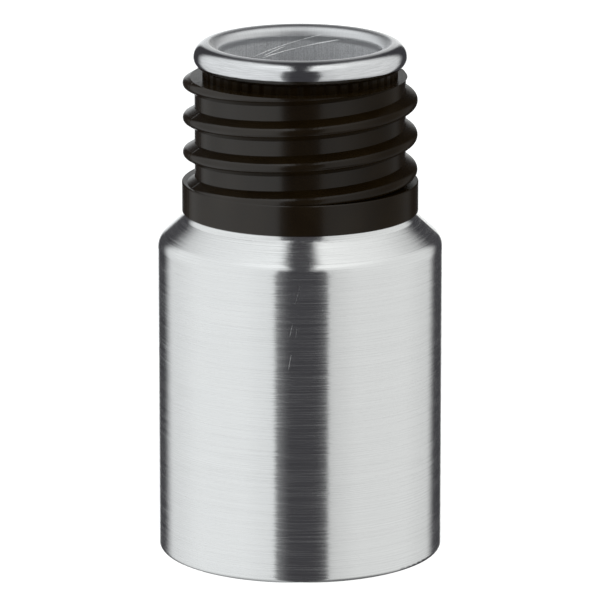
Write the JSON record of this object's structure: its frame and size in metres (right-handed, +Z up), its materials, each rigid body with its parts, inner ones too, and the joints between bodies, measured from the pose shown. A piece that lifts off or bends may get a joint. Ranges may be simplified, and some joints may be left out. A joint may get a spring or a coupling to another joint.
{
  "type": "liquid nitrogen dewar",
  "caption": "Small double-walled vacuum flask for liquid nitrogen: brushed casing, cone shoulder, black threaded neck collar and rolled polished rim around an open mouth.",
  "frame": {"origin": "centre of the foot ring, on the surface that the flask stands on", "axes": "+Z up along the flask's axis, out of the mouth; the thread's ridge leaves the flange towards -Y"},
  "size_m": [0.08, 0.08, 0.1459],
  "materials": {
    "brushed_casing": "brushed round the axis",
    "brushed_cover": "spun, satin",
    "plain_steel": "rolled sheet, satin",
    "vessel_steel": "drawn, satin",
    "polished_neck": "polished rim, drawn bore",
    "braze": "as brazed",
    "copper": "drawn copper",
    "black_plastic": "moulded, satin",
    "insulation": "layered glass paper",
    "foil": "bright foil",
    "pad_plastic": "glass-filled, matt",
    "getter": "unglazed pellets"
  },
  "bodies": {
    "root": {"outer_casing": "brushed_casing", "casing_base": "plain_steel", "base_cover": "brushed_cover", "evacuation_tube": "copper", "inner_vessel": "vessel_steel", "inner_bottom": "vessel_steel", "neck_tube": "polished_neck", "neck_seal_ring": "braze", "threaded_collar": "black_plastic", "insulation_blanket": "insulation", "insulation_bottom": "insulation", "foil_wrap": "foil", "foil_bottom": "foil", "support_pads": "pad_plastic", "getter_tray": "plain_steel", "getter_pellets": "getter", "getter_screen": "plain_steel"}
  },
  "joints": []
}
